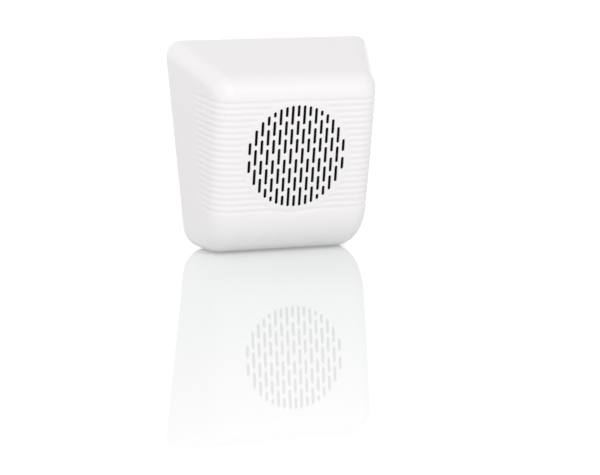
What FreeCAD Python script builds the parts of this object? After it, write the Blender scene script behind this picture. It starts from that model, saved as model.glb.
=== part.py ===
import FreeCAD, Part
import math
import os

from FreeCAD import Placement, Rotation, Vector

# Wall cabinet loudspeaker: a white moulded front housing with a four-inch driver behind a slotted
# grille, closed at the back by a screwed panel that carries the electronics.
#
# Frame, in millimetres: +X to the right seen from the front, +Y into the wall, +Z up. The origin is
# the centre of the four bracket inserts on the back face, which is the plane Y = 0.

# ---------------------------------------------------------------------------- driving dimensions
PITCH = 5.6                     # spacing of the grille's slot columns; the whole front follows it
HEIGHT = 191.0
MOUNT_HEIGHT = 112.0            # bracket centre above the bottom
GRILLE_HEIGHT = 92.0            # grille centre above the bottom
DEPTH = 72.0                    # grille centre to the wall
TILT = 7.6                      # the front leans this many degrees over the viewer
WALL = 2.6                      # moulded wall
BACK_HALF_BOTTOM = 79.6         # half widths of the cabinet at the wall
BACK_HALF_TOP = 100.0
FRONT_HALF_BOTTOM = 71.2        # half widths at the plane FRONT_AHEAD in front of the grille centre
FRONT_HALF_TOP = 74.5
FRONT_AHEAD = 11.2
CREASE_AHEAD = 9.0              # sharp corner between front and top slope, before rounding
CREASE_HEIGHT = 160.0
TOE_RADIUS = 45.0               # the front rolls under to the flat bottom
CREASE_RADIUS = 22.0
EDGE_RADII = (23.0, 17.0, 15.0)  # long side edges: at the bottom, on the front, on the top slope

RIB_COUNT = 19
RIB_PITCH = 5.55
GROOVE_DEPTH = 0.65
GROOVE_WIDTH = 2.8
GROOVE_END = 36.0               # grooves stop this far ahead of the wall
DISC_RADIUS = 51.8              # smooth disc round the grille
GRILLE_RADIUS = 46.9
SLOT_WIDTH = 2.5
GRILLE_WEB = 1.1                # the wall is thinner where the slots pass through it
CLOTH_RADIUS = 47.5
CLOTH_THICK = 0.6
SEAT_BORE = 48.2
SEAT_OUTER = 53.5

PANEL_THICK = 3.0
SEAL_THICK = 1.0
INSERT_SPACING = 75.0
INSERT_BORE = 2.0
KEYHOLE_X = 66.0
KEYHOLE_HEIGHT = 138.0
BAY_HALF = 42.0                 # connector bay: half width, bottom and top heights, depth
BAY_LOW = 9.0
BAY_HIGH = 60.0
BAY_DEPTH = 24.0
BAY_WALL = 2.0

SEAT_DEPTH = 8.0                # driver seat ring behind the front surface
GASKET_THICK = 1.5
FLANGE_DEPTH = SEAT_DEPTH + GASKET_THICK
FLANGE_THICK = 1.2
DRIVER_SCREW_OFFSET = 40.3

CLEAR = 0.4                     # assembly gap between mouldings

X = Vector(1, 0, 0)
Y = Vector(0, 1, 0)
Z = Vector(0, 0, 1)
COS = math.cos(math.radians(TILT))
SIN = math.sin(math.radians(TILT))
FRONT_UP = Vector(0, -SIN, COS)
INWARD = Vector(0, COS, SIN)


def level(height):
    """Z of a height above the cabinet's bottom."""
    return height - MOUNT_HEIGHT


GRILLE_CENTRE = Vector(0, -DEPTH, level(GRILLE_HEIGHT))
# Grille frame: x to the right, z inwards along the driver's axis, so that -y is up the front.
GRILLE_FRAME = Placement(GRILLE_CENTRE, Rotation(X, TILT - 90.0))


def on_grille(shape):
    """Moves a shape modelled in the grille frame to its place."""
    placed = shape.copy()
    placed.Placement = GRILLE_FRAME.multiply(placed.Placement)
    return placed


# ---------------------------------------------------------------------------- small helpers
def box(x0, x1, y0, y1, z0, z1):
    return Part.makeBox(x1 - x0, y1 - y0, z1 - z0, Vector(x0, y0, z0))


def rod(radius, base, direction, length):
    return Part.makeCylinder(radius, length, base, direction)


def tube(inner, outer, z0, z1):
    """Ring on the Z axis."""
    height = z1 - z0
    base = Vector(0, 0, z0)
    return Part.makeCylinder(outer, height, base).cut(Part.makeCylinder(inner, height, base))


def group(shapes):
    return Part.makeCompound(list(shapes))


def revolved(points):
    """Solid turned about Z from a closed outline of (radius, z) points."""
    outline = [Vector(r, 0, z) for r, z in points]
    face = Part.Face(Part.makePolygon(outline + outline[:1]))
    return face.revolve(Vector(), Z, 360)


def sheet_metal(points, thick):
    """Turned sheet: a line of (radius, z) points given a thickness on its +z or outer side."""
    offset = []
    last = len(points) - 1
    for i, (r, z) in enumerate(points):
        before = points[max(i - 1, 0)]
        after = points[min(i + 1, last)]
        normals = []
        for a, b in ((before, points[i]), (points[i], after)):
            length = math.hypot(b[0] - a[0], b[1] - a[1])
            if length > 0:
                normals.append(((b[1] - a[1]) / length, -(b[0] - a[0]) / length))
        nr = sum(n[0] for n in normals) / len(normals)
        nz = sum(n[1] for n in normals) / len(normals)
        scale = thick / (nr * nr + nz * nz)
        offset.append((r + nr * scale, z + nz * scale))
    return revolved(points + offset[::-1])


def screw(head_radius, head_height, shank_radius, shank_length, recess=0.6):
    """Pan-head screw pointing down -Z, its head's underside on Z = 0, with a cross recess."""
    head = Part.makeCylinder(head_radius, head_height)
    head = head.makeFillet(head_height * 0.45, [head.Edges[0]])
    arm = head_radius * 0.55
    slot = head_radius * 0.14
    cross = box(-arm, arm, -slot, slot, head_height - recess, head_height + 1)
    cross = cross.fuse(box(-slot, slot, -arm, arm, head_height - recess, head_height + 1))
    shank = Part.makeCylinder(shank_radius, shank_length, Vector(0, 0, -shank_length))
    return head.cut(cross).fuse(shank)


def facing(shape, direction, position):
    """Turns a shape's +Z to a direction and moves its origin to a position."""
    placed = shape.copy()
    placed.Placement = Placement(position, Rotation(Z, direction))
    return placed


def rounded_box(x0, x1, y0, y1, z0, z1, radius, along):
    """Box whose four edges along one axis are rounded."""
    solid = box(x0, x1, y0, y1, z0, z1)
    edges = [e for e in solid.Edges if abs(abs(e.tangentAt(0).dot(along)) - 1) < 1e-6]
    return solid.makeFillet(radius, edges)


# ---------------------------------------------------------------------------- cabinet envelope
def crossing(p, d, q, e):
    """Point of the line p + k d, in the YZ plane, that lies on the line through q along e."""
    turn = d.y * e.z - d.z * e.y
    k = ((q.y - p.y) * e.z - (q.z - p.z) * e.y) / turn
    return p + d * k


def rounding(before, corner, after, radius):
    """Start, middle and end of the arc that rounds a corner of an outline."""
    u = (before - corner).normalize()
    w = (after - corner).normalize()
    half = u.getAngle(w) / 2
    bisector = (u + w).normalize()
    reach = radius / math.tan(half)
    middle = corner + bisector * (radius / math.sin(half) - radius)
    return corner + u * reach, middle, corner + w * reach


def side_profile(inset, back):
    """Side view of the cabinet as a face in the plane X = 0, moved inwards by inset."""
    front_point = GRILLE_CENTRE + INWARD * inset
    top_edge = Vector(0, 0, level(HEIGHT))
    sharp_crease = Vector(0, -DEPTH - CREASE_AHEAD, level(CREASE_HEIGHT))
    slope = (top_edge - sharp_crease).normalize()
    slope_point = top_edge + Vector(0, slope.z, -slope.y) * inset
    floor_point = Vector(0, 0, level(0) + inset)
    crease = crossing(front_point, FRONT_UP, slope_point, slope)
    toe = crossing(front_point, FRONT_UP, floor_point, Y)
    back_top = crossing(Vector(0, back, 0), Z, slope_point, slope)
    back_low = Vector(0, back, floor_point.z)
    t1, t2, t3 = rounding(back_low, toe, crease, TOE_RADIUS - inset)
    c1, c2, c3 = rounding(toe, crease, back_top, CREASE_RADIUS - inset)
    edges = [
        Part.LineSegment(back_low, t1),
        Part.Arc(t1, t2, t3),
        Part.LineSegment(t3, c1),
        Part.Arc(c1, c2, c3),
        Part.LineSegment(c3, back_top),
        Part.LineSegment(back_top, back_low),
    ]
    return Part.Face(Part.Wire([e.toShape() for e in edges]))


def tapered_sides(inset):
    """Solid between the two side walls, which twist a little from the wall to the front."""
    spare = 20.0
    front_y = -DEPTH - FRONT_AHEAD

    def section(share):
        low = BACK_HALF_BOTTOM + (FRONT_HALF_BOTTOM - BACK_HALF_BOTTOM) * share
        high = BACK_HALF_TOP + (FRONT_HALF_TOP - BACK_HALF_TOP) * share
        widen = (high - low) / HEIGHT * spare
        y = front_y * share
        x0 = low - widen - inset
        x1 = high + widen - inset
        z0 = level(-spare)
        z1 = level(HEIGHT + spare)
        corners = [(-x0, z0), (x0, z0), (x1, z1), (-x1, z1), (-x0, z0)]
        return Part.makePolygon([Vector(x, y, z) for x, z in corners])

    return Part.makeLoft([section(-0.1), section(1.15)], True, True)


def edge_radius(vertex, inset):
    """Radius of a side edge where it passes a vertex of the unrounded cabinet."""
    low, middle, high = EDGE_RADII
    if vertex.Z < level(20.0):
        return low - inset
    if vertex.Y > -DEPTH and vertex.Z > level(CREASE_HEIGHT):
        return high - inset
    return middle - inset


def envelope(inset=0.0, back=0.0):
    """The cabinet's closed form, moved inwards by inset and ended at the plane Y = back."""
    half = 150.0
    profile = side_profile(inset, back)
    profile.translate(X * -half)
    sharp = profile.extrude(X * 2 * half).common(tapered_sides(inset)).Solids[0]
    document = FreeCAD.newDocument("envelope")
    base = document.addObject("Part::Feature", "base")
    base.Shape = sharp
    rounded = document.addObject("Part::Fillet", "rounded")
    rounded.Base = base
    chosen = []
    for number, edge in enumerate(sharp.Edges, 1):
        a, b = edge.Vertexes[0], edge.Vertexes[-1]
        along_side = a.X * b.X > 0
        on_back = min(a.Y, b.Y) > back - 1e-3
        if along_side and not on_back:
            chosen.append((number, edge_radius(a, inset), edge_radius(b, inset)))
    rounded.Edges = chosen
    document.recompute()
    solid = rounded.Shape.Solids[0].copy()
    FreeCAD.closeDocument("envelope")
    return solid


def slab(y0, y1):
    """Everything between two distances from the wall."""
    return box(-200, 200, y0, y1, -200, 200)


# ---------------------------------------------------------------------------- grille slots
def slot_spans(column):
    """Spans (low, high) of the slots above the centre line of one column, in column pitches."""
    reach = math.sqrt((GRILLE_RADIUS / PITCH) ** 2 - column**2)
    if column % 2:
        spans = [(-1.32, 1.32), (1.90, 4.52), (5.16, 9.0)]
    else:
        spans = [(0.47, 2.86), (3.45, 5.84), (6.47, 9.0)]
    kept = [(low, min(high, reach)) for low, high in spans]
    return [(low, high) for low, high in kept if high - low > 0.6]


def slot_cutters(depth):
    """All slots of the grille in the grille frame, cut through to a depth."""
    cutters = []
    radius = SLOT_WIDTH / 2
    for column in range(-8, 9):
        x = column * PITCH
        for low, high in slot_spans(abs(column)):
            mirrored = [(low, high)] if low < 0 else [(low, high), (-high, -low)]
            for start, end in mirrored:
                y0 = start * PITCH + radius
                y1 = end * PITCH - radius
                cutters.append(box(x - radius, x + radius, y0, y1, -2, depth))
                cutters += [Part.makeCylinder(radius, depth + 2, Vector(x, y, -2)) for y in (y0, y1)]
    return cutters


# ---------------------------------------------------------------------------- front housing
REAR_SCREWS = [(70.5, 13.0), (80.0, 92.0), (88.0, 169.0)]
REAR_SCREW_BOSS = 4.4
REAR_SCREW_SHANK = 1.5
REAR_SCREW_LENGTH = 12.0
BOSS_TOP = -PANEL_THICK - SEAL_THICK


def mirrored_pairs(places):
    return [(side * x, height) for x, height in places for side in (-1, 1)]


def groove_cutters():
    """Shallow bands round the front and sides, left out of the smooth disc at the grille."""
    skin = envelope(0.0).cut(envelope(GROOVE_DEPTH, 1.0))
    bands = []
    for number in range(RIB_COUNT):
        up = (number - (RIB_COUNT - 1) / 2) * RIB_PITCH
        band = box(-120, 120, -up - GROOVE_WIDTH / 2, -up + GROOVE_WIDTH / 2, -20, 80)
        bands.append(on_grille(band))
    disc = on_grille(Part.makeCylinder(DISC_RADIUS, 20, Vector(0, 0, -10)))
    bands = group(bands).common(slab(-150, -GROOVE_END)).cut(disc)
    return skin.common(bands)


def front_housing():
    outer = envelope()
    cavity = envelope(WALL, 2.0)
    shell = outer.cut(cavity).cut(groove_cutters())

    seat = tube(SEAT_BORE, SEAT_OUTER, WALL - 1.0, SEAT_DEPTH)
    offset = DRIVER_SCREW_OFFSET
    corners = [(offset * a, offset * b) for a in (-1, 1) for b in (-1, 1)]
    posts = [Part.makeCylinder(3.8, SEAT_DEPTH - 1.0, Vector(x, y, 1.0)) for x, y in corners]
    additions = [on_grille(part) for part in [seat] + posts]
    bosses = []
    for x, height in mirrored_pairs(REAR_SCREWS):
        base = Vector(x, BOSS_TOP, level(height))
        bosses.append(rod(REAR_SCREW_BOSS, base, -Y, 16.0))
        inner, outer_x = sorted((x, x + math.copysign(10.0, x)))
        rib = box(inner, outer_x, BOSS_TOP - 16.0, BOSS_TOP, level(height) - 1.2, level(height) + 1.2)
        bosses.append(rib)
    ledge = envelope(WALL - 0.5, 2.0).cut(envelope(WALL + 3.0, 2.0)).common(slab(-6.5, BOSS_TOP))
    within = envelope(WALL / 3)
    inside = [part.common(within) for part in bosses]
    shell = shell.multiFuse(additions + inside + [ledge])

    holes = [Part.makeCylinder(1.25, 5.0, Vector(x, y, SEAT_DEPTH - 5.0)) for x, y in corners]
    recess = Part.makeCylinder(CLOTH_RADIUS + CLEAR, WALL, Vector(0, 0, GRILLE_WEB))
    cuts = [on_grille(part) for part in holes + [recess] + slot_cutters(WALL + 0.2)]
    for x, height in mirrored_pairs(REAR_SCREWS):
        cuts.append(rod(REAR_SCREW_SHANK, Vector(x, BOSS_TOP, level(height)), -Y, 13.0))
    return shell.cut(cuts).removeSplitter()


def grille_cloth():
    """Black acoustic cloth glued behind the slots, in the recess of the front wall."""
    return on_grille(Part.makeCylinder(CLOTH_RADIUS, CLOTH_THICK, Vector(0, 0, GRILLE_WEB)))


def damping_pad():
    """Polyester wadding in the top of the cabinet."""
    pad = rounded_box(-68, 68, -52, -14, level(151), level(176), 8, X)
    return pad.common(envelope(WALL + 1.0, 1.0))


# ---------------------------------------------------------------------------- driver, grille frame
CONE_EDGE = 38.3
NECK = 12.8
NECK_DEPTH = 25.0
SHELF_DEPTH = 27.0
PLATE_DEPTH = 34.2
MAGNET_DEPTH = 38.2
YOKE_DEPTH = 50.2
DRIVER_END = 54.2


def driver_gasket():
    return tube(48.6, 52.6, SEAT_DEPTH, FLANGE_DEPTH)


def driver_basket():
    """Pressed steel frame: square flange, four legs, spider shelf and the seat on the top plate."""
    flange = box(-52, 52, -52, 52, FLANGE_DEPTH, FLANGE_DEPTH + FLANGE_THICK)
    flange = flange.common(Part.makeCylinder(62, 40)).cut(Part.makeCylinder(44.6, 40))
    back = FLANGE_DEPTH + FLANGE_THICK
    line = [(46.2, back - 0.4), (31.2, SHELF_DEPTH), (26.0, SHELF_DEPTH),
            (24.0, PLATE_DEPTH - FLANGE_THICK), (14.4, PLATE_DEPTH - FLANGE_THICK)]
    bowl = sheet_metal([(r, z) for r, z in line[::-1]], -FLANGE_THICK)
    for turn in range(4):
        wedge = Part.Face(Part.makePolygon([Vector(), Vector(80, -44, 0), Vector(80, 44, 0), Vector()]))
        wedge = wedge.extrude(Z * 11.5)
        wedge.translate(Z * 13.5)
        wedge.rotate(Vector(), Z, 90 * turn)
        bowl = bowl.cut(wedge)
    offset = DRIVER_SCREW_OFFSET
    corners = [(offset * a, offset * b) for a in (-1, 1) for b in (-1, 1)]
    holes = [Part.makeCylinder(1.9, 30, Vector(x, y, 0)) for x, y in corners]
    return flange.fuse(bowl).cut(holes).removeSplitter()


def driver_screws():
    heads = []
    for a in (-1, 1):
        for b in (-1, 1):
            spot = Vector(DRIVER_SCREW_OFFSET * a, DRIVER_SCREW_OFFSET * b, FLANGE_DEPTH + FLANGE_THICK)
            heads.append(facing(screw(3.2, 2.0, 1.25, 6.0), Z, spot))
    return group(heads)


def arc_points(centre, radius, start, end, count):
    """Points of (radius, z) along an arc, angles in degrees."""
    steps = [math.radians(start + (end - start) * i / (count - 1)) for i in range(count)]
    return [(centre[0] + radius * math.cos(a), centre[1] + radius * math.sin(a)) for a in steps]


def surround():
    """Rubber half-roll between the cone's edge and the flange, bulging towards the grille."""
    base = FLANGE_DEPTH
    middle = (41.6, base - 0.8)
    outer = arc_points(middle, 3.5, 0, -180, 17)
    inner = arc_points(middle, 2.7, -180, 0, 17)
    outline = [(48.2, base), (48.2, base - 0.8)] + outer + [(36.6, base - 0.8), (36.6, base)]
    outline += [(38.9, base)] + inner + [(44.3, base)]
    return revolved(outline)


def cone():
    """Paper cone from the surround down to the voice coil."""
    front = FLANGE_DEPTH + 0.05
    line = [(CONE_EDGE, front), (36.0, front), (24.5, 16.2), (NECK + 0.1, NECK_DEPTH)]
    return sheet_metal(line, 0.7)


def dust_cap():
    rim, rise, thick = 14.0, 5.0, 0.6
    base = 24.0
    radius = (rim**2 + rise**2) / (2 * rise)
    centre = Vector(0, 0, base - rise + radius)
    dome = Part.makeSphere(radius, centre).cut(Part.makeSphere(radius - thick, centre))
    return dome.common(Part.makeCylinder(rim + 2, rise + 0.1, Vector(0, 0, base - rise - 0.1)))


def coil_former():
    return tube(12.5, 12.8, NECK_DEPTH - 0.8, 43.0)


def coil_winding():
    return tube(12.8, 13.4, 33.8, 42.2)


def spider():
    """Corrugated disc that centres the voice coil."""
    waves = 5
    inner, outer = 14.2, 26.0
    count = waves * 8
    line = [(NECK, SHELF_DEPTH - 0.5)]
    for i in range(count + 1):
        r = inner + (outer - inner) * i / count
        line.append((r, SHELF_DEPTH - 0.5 - 0.7 * math.sin(2 * math.pi * waves * i / count)))
    line.append((29.8, SHELF_DEPTH - 0.5))
    return sheet_metal(line, 0.45)


def top_plate():
    return tube(13.9, 27.0, PLATE_DEPTH, MAGNET_DEPTH)


def magnet_ring():
    ring = tube(16.0, 30.0, MAGNET_DEPTH, YOKE_DEPTH)
    outer_edges = [e for e in ring.Edges if len(e.Vertexes) == 1 and e.Length > 170]
    return ring.makeFillet(0.8, outer_edges)


def yoke():
    """Back plate and vented pole in one piece."""
    plate = Part.makeCylinder(27.0, DRIVER_END - YOKE_DEPTH, Vector(0, 0, YOKE_DEPTH))
    plate = plate.makeChamfer(1.0, [e for e in plate.Edges if len(e.Vertexes) == 1 and
                                    e.CenterOfMass.z > DRIVER_END - 0.1])
    pole = Part.makeCylinder(12.1, YOKE_DEPTH - PLATE_DEPTH + 0.5, Vector(0, 0, PLATE_DEPTH))
    vent = Part.makeCylinder(4.0, 40, Vector(0, 0, 20))
    return plate.fuse(pole).cut(vent)


STRIP_DEPTH = SHELF_DEPTH + FLANGE_THICK + 0.1
TAG_SPACING = 10.0


def terminal_strip():
    """Phenolic plate under the spider shelf that carries the two solder tags."""
    return box(-37.5, -26.9, -8, 8, STRIP_DEPTH, STRIP_DEPTH + 1.6)


def tag_sides():
    return (-TAG_SPACING / 2, TAG_SPACING / 2)


def terminal_tags():
    tags = []
    for y in tag_sides():
        tag = box(-43.5, -32, y - 1.6, y + 1.6, STRIP_DEPTH + 1.6, STRIP_DEPTH + 2.1)
        hole = Part.makeCylinder(0.8, 10, Vector(-41.6, y, STRIP_DEPTH - 2))
        tags.append(tag.cut(hole))
    return group(tags)


def bent_tube(points, radius, bend):
    """Round tube along straight runs joined by tangent arcs."""
    edges = []
    start = points[0]
    for before, corner, after in zip(points, points[1:], points[2:]):
        a, m, b = rounding(before, corner, after, bend)
        edges.append(Part.LineSegment(start, a).toShape())
        edges.append(Part.Arc(a, m, b).toShape())
        start = b
    edges.append(Part.LineSegment(start, points[-1]).toShape())
    path = Part.Wire(edges)
    heading = points[1] - points[0]
    profile = Part.Wire([Part.Circle(points[0], heading, radius).toShape()])
    return path.makePipeShell([profile], True, True)


def tinsel_leads():
    """Two braided leads from the tags to the cone, through the basket's window."""
    leads = []
    for y in tag_sides():
        points = [Vector(-36.0, y, STRIP_DEPTH - 0.05), Vector(-36.0, y, 23.5),
                  Vector(-30.5, y, 21.0), Vector(-26.5, y, 17.6)]
        leads.append(bent_tube(points, 0.45, 1.8))
    return group(leads)


# ---------------------------------------------------------------------------- rear panel and bay
def insert_places():
    half = INSERT_SPACING / 2
    return [(a * half, b * half) for a in (-1, 1) for b in (-1, 1)]


def keyhole_cutter(x):
    """Round entry below, narrow slot above, into a closed pocket."""
    z = level(KEYHOLE_HEIGHT)
    entry = rod(5.0, Vector(x, -2.4, z), Y, 5.0)
    slot = box(x - 2.4, x + 2.4, -2.4, 3.0, z, z + 10.0).fuse(rod(2.4, Vector(x, -2.4, z + 10.0), Y, 5.4))
    pocket = box(x - 5.4, x + 5.4, -8.0, -2.2, z - 5.4, z + 15.4)
    return entry.fuse(slot).fuse(pocket)


JACK = (-30.0, -14.0, 40.0, 57.0)      # x0, x1, low and high heights of the network jack
BLOCK = (6.0, 24.0, 42.0, 55.0)        # the same for the terminal block
KNOB = (33.0, 22.0)                    # x and height of the level control
RESET = (34.0, 48.0)                   # x and height of the reset button
LIGHT = (-33.0, 24.0)                  # x and height of the status light
BOARD_BACK = -BAY_DEPTH - BAY_WALL - 1.5
BOARD_THICK = 1.6
BOARD_FRONT = BOARD_BACK - BOARD_THICK
BOARD = (-41.0, 41.0, 11.0, 59.0)
BOARD_SCREWS = [(-38.0, 14.0), (38.0, 14.0), (-38.0, 56.0), (38.0, 56.0)]


def rear_panel():
    floor_y = -BAY_DEPTH - BAY_WALL
    plate = envelope(WALL + CLEAR, 2.0).common(slab(-PANEL_THICK, 0.0))
    low, high = level(BAY_LOW), level(BAY_HIGH)
    tub = rounded_box(-BAY_HALF - BAY_WALL, BAY_HALF + BAY_WALL, floor_y, -1.0,
                      low - BAY_WALL, high + BAY_WALL, 5.0, Y)
    pieces = [tub]
    for x, z in insert_places():
        pieces.append(rod(5.0, Vector(x, -1.0, z), -Y, 9.0))
    for x in (-KEYHOLE_X, KEYHOLE_X):
        z = level(KEYHOLE_HEIGHT)
        pieces.append(box(x - 7.2, x + 7.2, -9.8, -1.0, z - 7.2, z + 17.2))
    # Stiffening ribs on the inner face, between the bay and the keyholes.
    for x in (-20.0, 20.0):
        pieces.append(box(x - 0.9, x + 0.9, -7.0, -1.0, high, level(160)))
    for height in (118.0, 160.0):
        pieces.append(box(-55.0, 55.0, -7.0, -1.0, level(height) - 0.9, level(height) + 0.9))
    for x, height in BOARD_SCREWS:
        pieces.append(rod(2.6, Vector(x, floor_y + 1.0, level(height)), -Y, 2.5))
    body = plate.multiFuse(pieces)

    cuts = [rounded_box(-BAY_HALF, BAY_HALF, -BAY_DEPTH, 2.0, low, high, 3.0, Y)]
    cuts += [rod(3.2, Vector(x, -10.5, z), Y, 12.0) for x, z in insert_places()]
    cuts += [keyhole_cutter(x) for x in (-KEYHOLE_X, KEYHOLE_X)]
    for x, height in mirrored_pairs(REAR_SCREWS):
        spot = Vector(x, -PANEL_THICK - 1, level(height))
        cuts += [rod(1.8, spot, Y, 6.0), rod(3.5, spot + Y * 2.2, Y, 4.0)]
    for x0, x1, h0, h1 in (JACK, BLOCK):
        z0, z1 = level(h0) - CLEAR, level(h1) + CLEAR
        cuts.append(box(x0 - CLEAR, x1 + CLEAR, floor_y - 1, -BAY_DEPTH + 1, z0, z1))
    for (x, height), radius in ((KNOB, 7.4), (RESET, 4.6), (LIGHT, 2.0)):
        cuts.append(rod(radius, Vector(x, floor_y - 1, level(height)), Y, 4.0))
    for x, height in BOARD_SCREWS:
        cuts.append(rod(1.0, Vector(x, BOARD_BACK, level(height)), Y, 2.9))
    return body.cut(cuts).removeSplitter()


def rear_seal():
    ring = envelope(WALL + CLEAR, 2.0).cut(envelope(WALL + 2.8, 2.0))
    return ring.common(slab(BOSS_TOP, -PANEL_THICK))


def rear_screws():
    screws = []
    for x, height in mirrored_pairs(REAR_SCREWS):
        spot = Vector(x, -PANEL_THICK + 1.2, level(height))
        screws.append(facing(screw(3.0, 1.6, REAR_SCREW_SHANK, REAR_SCREW_LENGTH), Y, spot))
    return group(screws)


def mount_inserts():
    """Four M4 brass inserts, 75 x 75, for a bracket."""
    inserts = []
    for x, z in insert_places():
        body = rod(3.2, Vector(x, -8.0, z), Y, 8.0)
        inserts.append(body.cut(rod(INSERT_BORE, Vector(x, -9.0, z), Y, 10.0)))
    return group(inserts)


# ---------------------------------------------------------------------------- electronics
def main_board():
    x0, x1, h0, h1 = BOARD
    board = rounded_box(x0, x1, BOARD_FRONT, BOARD_BACK, level(h0), level(h1), 2.0, Y)
    holes = [rod(1.35, Vector(x, BOARD_FRONT - 1, level(h)), Y, 4) for x, h in BOARD_SCREWS]
    return board.cut(holes)


def board_screws():
    screws = []
    for x, height in BOARD_SCREWS:
        spot = Vector(x, BOARD_FRONT, level(height))
        screws.append(facing(screw(2.3, 1.5, 1.0, 4.2), -Y, spot))
    return group(screws)


JACK_TOP = BOARD_BACK + 13.6
PORT = (-28.0, -16.0, BOARD_BACK + 3.6, BOARD_BACK + 11.4)
PORT_DEPTH = 13.0
CONTACTS = 8
CONTACT_PITCH = 1.02


def network_jack():
    """Shielded eight-way socket, its mouth facing down."""
    x0, x1, h0, h1 = JACK
    shell = rounded_box(x0, x1, BOARD_BACK, JACK_TOP, level(h0), level(h1), 0.8, Z)
    px0, px1, py0, py1 = PORT
    port = box(px0, px1, py0, py1, level(h0) - 1, level(h0) + PORT_DEPTH)
    key = box(-24.0, -20.0, py1 - 0.5, JACK_TOP - 0.7, level(h0) - 1, level(h0) + PORT_DEPTH)
    return shell.cut([port, key])


def jack_contacts():
    """Eight gold springs along the port's board side."""
    mouth = level(JACK[2])
    middle = (PORT[0] + PORT[1]) / 2
    y0, y1 = PORT[2], PORT[2] + 0.9
    springs = []
    for number in range(CONTACTS):
        x = middle + (number - (CONTACTS - 1) / 2) * CONTACT_PITCH
        springs.append(box(x - 0.2, x + 0.2, y0, y1, mouth + 2.5, mouth + PORT_DEPTH))
    return group(springs)


WAYS = 4
WAY_PITCH = 4.2
BLOCK_TOP = BOARD_BACK + 12.0
BUTTON_RISE = 1.6


def way_centres():
    middle = (BLOCK[0] + BLOCK[1]) / 2
    return [middle + (number - (WAYS - 1) / 2) * WAY_PITCH for number in range(WAYS)]


def terminal_block():
    """Four-way push-in block: wires enter from below, release buttons face the wall."""
    x0, x1, h0, h1 = BLOCK
    body = box(x0, x1, BOARD_BACK, BLOCK_TOP, level(h0), level(h1))
    cuts = []
    z0, z1 = level(h1) - 6.0, level(h1) - 1.6
    for x in way_centres():
        cuts.append(rod(1.3, Vector(x, BOARD_BACK + 6.0, level(h0) - 1), Z, 8.0))
        cuts.append(box(x - 1.25, x + 1.25, BLOCK_TOP - 3.4, BLOCK_TOP + 1, z0, z1))
    return body.cut(cuts)


def release_button(number):
    x = way_centres()[number]
    top = level(BLOCK[3])
    face = BLOCK_TOP + BUTTON_RISE
    body = box(x - 1.2, x + 1.2, BLOCK_TOP - 2.2, face, top - 5.95, top - 1.65)
    mark = box(x - 0.3, x + 0.3, face - 0.5, face + 1.4, top - 5.0, top - 2.6)
    return body.cut(mark)


def level_control():
    x, height = KNOB
    z = level(height)
    body = box(x - 5.0, x + 5.0, BOARD_BACK, BOARD_BACK + 4.6, z - 5.0, z + 5.0)
    return body.cut(rod(1.55, Vector(x, BOARD_BACK + 1.2, z), Y, 6.0))


def level_knob():
    """Knurled knob with a pointer groove on a 3 mm spindle."""
    x, height = KNOB
    z = level(height)
    face = BOARD_BACK + 14.0
    knob = rod(5.6, Vector(x, face - 8.6, z), Y, 8.6)
    grooves = []
    for number in range(20):
        angle = 2 * math.pi * number / 20
        spot = Vector(x + 5.75 * math.cos(angle), face - 9.0, z + 5.75 * math.sin(angle))
        grooves.append(rod(0.42, spot, Y, 10.0))
    grooves.append(box(x - 0.4, x + 0.4, face - 0.7, face + 1, z + 1.0, z + 7.0))
    spindle = rod(1.5, Vector(x, BOARD_BACK + 1.5, z), Y, face - BOARD_BACK - 4.0)
    return knob.cut(grooves).fuse(spindle)


RESET_BODY = 3.6


def reset_switch():
    x, height = RESET
    z = level(height)
    body = box(x - 3.0, x + 3.0, BOARD_BACK, BOARD_BACK + RESET_BODY, z - 3.0, z + 3.0)
    return body.cut(rod(1.8, Vector(x, BOARD_BACK + 1.6, z), Y, 4.0))


def reset_button():
    x, height = RESET
    z = level(height)
    stem = rod(1.75, Vector(x, BOARD_BACK + 2.4, z), Y, 4.0)
    cap = rod(2.6, Vector(x, BOARD_BACK + 4.6, z), Y, 3.4)
    rim = [e for e in cap.Edges if len(e.Vertexes) == 1 and e.CenterOfMass.y > BOARD_BACK + 7.9]
    return stem.fuse(cap.makeFillet(0.5, rim))


def status_light():
    x, height = LIGHT
    z = level(height)
    stem = rod(1.5, Vector(x, BOARD_BACK, z), Y, 2.8)
    return stem.fuse(Part.makeSphere(1.5, Vector(x, BOARD_BACK + 2.8, z)))


CHIP_SPOT = (-18.0, 28.0)


def amplifier_chip():
    x, height = CHIP_SPOT
    return box(x - 5, x + 5, BOARD_FRONT - 1.4, BOARD_FRONT, level(height) - 5, level(height) + 5)


def heat_sink():
    """Finned aluminium block on the amplifier chip."""
    x, height = CHIP_SPOT
    front = BOARD_FRONT - 1.4
    z = level(height)
    base = box(x - 12, x + 12, front - 2.0, front, z - 12, z + 12)
    fins = []
    for number in range(7):
        fin = x - 12 + number * (24 - 1.2) / 6
        fins.append(box(fin, fin + 1.2, front - 10.0, front - 1.9, z - 12, z + 12))
    return base.multiFuse(fins).removeSplitter()


def shield_can():
    can = rounded_box(0, 26, BOARD_FRONT - 3.0, BOARD_FRONT, level(36), level(56), 1.0, Y)
    hollow = box(0.4, 25.6, BOARD_FRONT - 2.6, BOARD_FRONT + 1, level(36.4), level(55.6))
    return can.cut(hollow)


def network_chip():
    return box(6, 20, BOARD_FRONT - 1.0, BOARD_FRONT, level(40), level(53))


def filter_inductors():
    coils = []
    for x in (0.0, 13.0):
        coils.append(rounded_box(x, x + 10, BOARD_FRONT - 5.0, BOARD_FRONT, level(21), level(31), 2.0, Y))
    return group(coils)


def capacitors():
    cans = []
    for x, height in ((32.0, 27.0), (32.0, 38.0)):
        can = rod(4.0, Vector(x, BOARD_FRONT, level(height)), -Y, 10.0)
        rim = [e for e in can.Edges if len(e.Vertexes) == 1 and e.CenterOfMass.y < BOARD_FRONT - 9.9]
        cans.append(can.makeFillet(0.6, rim))
    return group(cans)


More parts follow.
